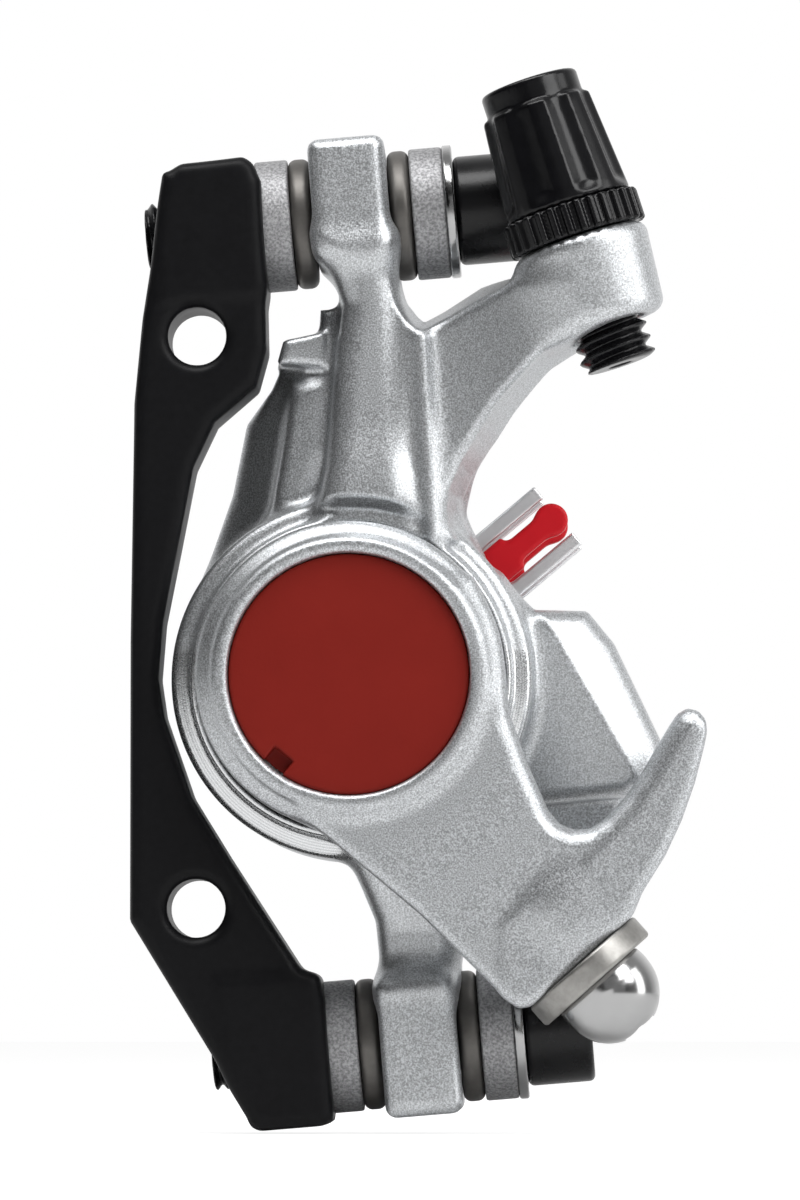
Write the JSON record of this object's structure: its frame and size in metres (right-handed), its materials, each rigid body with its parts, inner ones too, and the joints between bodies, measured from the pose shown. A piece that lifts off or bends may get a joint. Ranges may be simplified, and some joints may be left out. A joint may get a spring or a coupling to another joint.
{
  "type": "mechanical disc brake",
  "caption": "Cable-pulled disc brake caliper with its frame bracket: a swinging arm and ball ramps press pads on a rotor; barrel and rear knob set the cable and pad gap.",
  "frame": {"origin": "midway between the two frame bolt holes, on the bracket's outer mounting face", "axes": "+Z along the line of the frame bolt holes towards the cable stop, -Y out of the mounting face away from the wheel, +X from the bracket towards the cable clamp"},
  "size_m": [0.0509, 0.0428, 0.0938],
  "materials": {
    "bracket_black": "satin black",
    "bolt_black": "black oxide, slight gloss",
    "washer_sand": "sand-blasted, matte",
    "washer_smooth": "smooth, dull grey",
    "washer_bright": "polished",
    "cast_silver": "silver paint with a fine sparkle",
    "arm_silver": "silver paint with a fine sparkle",
    "cap_red": "matte brick red",
    "steel_dark": "dark plated steel",
    "steel_plain": "ground steel",
    "cage_brass": "plain",
    "ball_steel": "polished",
    "spring_steel": "bright rolled steel",
    "rubber_black": "matte",
    "pad_red": "bright red paint",
    "lining": "pressed friction compound with metal flecks",
    "knob_red": "moulded red, slight gloss",
    "barrel_black": "gloss black",
    "dome_chrome": "polished"
  },
  "bodies": {
    "root": {"mounting_bracket": "bracket_black", "upper_mount_bolt": "bolt_black", "lower_mount_bolt": "bolt_black", "upper_inner_cup": "washer_sand", "upper_inner_ball": "washer_smooth", "upper_outer_ball": "washer_smooth", "upper_outer_cup": "washer_sand", "upper_thin_washer": "washer_bright", "lower_inner_cup": "washer_sand", "lower_inner_ball": "washer_smooth", "lower_outer_ball": "washer_smooth", "lower_outer_cup": "washer_sand", "lower_thin_washer": "washer_bright", "outer_body": "cast_silver", "inner_body": "cast_silver", "upper_body_bolt": "steel_dark", "lower_body_bolt": "steel_dark", "fixed_cam": "steel_plain", "return_spring": "spring_steel", "dust_seal": "rubber_black", "pad_spring": "spring_steel", "knob_spring": "spring_steel"},
    "outer_pad": {"pressure_foot": "steel_plain", "outer_pad_plate": "pad_red", "outer_pad_lining": "lining"},
    "arm": {"actuating_arm": "arm_silver", "arm_cap": "cap_red", "arm_screw": "steel_dark", "drive_cam": "steel_plain", "clamp_washer": "washer_smooth", "clamp_bolt": "dome_chrome"},
    "cage": {"ball_cage": "cage_brass", "ramp_balls": "ball_steel"},
    "knob": {"adjuster_knob": "knob_red"},
    "foot": {"inner_foot": "steel_plain"},
    "inner_pad": {"inner_pad_plate": "pad_red", "inner_pad_lining": "lining"},
    "ring": {"lock_ring": "barrel_black"},
    "barrel": {"adjuster_barrel": "barrel_black"}
  },
  "joints": [
    {"name": "cam_advance", "type": "slide", "parent": "root", "child": "outer_pad", "axis": [0, 1, 0], "range_m": [0, 0.0012], "deforming": ["pad_spring"]},
    {"name": "arm_swing", "type": "hinge", "parent": "outer_pad", "child": "arm", "pos_m": [0.0138, 0, -0.0051], "axis": [0, -1, 0], "range_deg": [0, 42], "stiffness_Nm_per_rad": 0.15, "springref_deg": -28.65, "deforming": ["return_spring"]},
    {"name": "cage_turn", "type": "hinge", "parent": "root", "child": "cage", "pos_m": [0.0138, 0, -0.0051], "axis": [0, -1, 0], "range_deg": [0, 21]},
    {"name": "knob_turn", "type": "hinge", "parent": "root", "child": "knob", "pos_m": [0.0138, 0, -0.0051], "axis": [0, 1, 0], "range_deg": [0, 450]},
    {"name": "foot_advance", "type": "slide", "parent": "knob", "child": "foot", "axis": [0, -1, 0], "range_m": [0, 0.00125]},
    {"name": "inner_pad_advance", "type": "slide", "parent": "root", "child": "inner_pad", "axis": [0, -1, 0], "range_m": [0, 0.00125], "deforming": ["pad_spring"]},
    {"name": "barrel_lift", "type": "slide", "parent": "root", "child": "ring", "axis": [-0.309, 0, 0.9511], "range_m": [0, 0.004]},
    {"name": "barrel_turn", "type": "hinge", "parent": "ring", "child": "barrel", "pos_m": [0.0341, -0.0035, 0.0336], "axis": [-0.309, 0, 0.9511], "range_deg": [0, 1440]}
  ],
  "couplings": [
    {"joint": "arm_swing", "follows": "cam_advance", "rad_per_m": 610.86},
    {"joint": "cage_turn", "follows": "cam_advance", "rad_per_m": 305.43},
    {"joint": "knob_turn", "follows": "inner_pad_advance", "rad_per_m": 6283.2},
    {"joint": "foot_advance", "follows": "inner_pad_advance", "ratio": 1},
    {"joint": "barrel_turn", "follows": "barrel_lift", "rad_per_m": 6283.2}
  ]
}
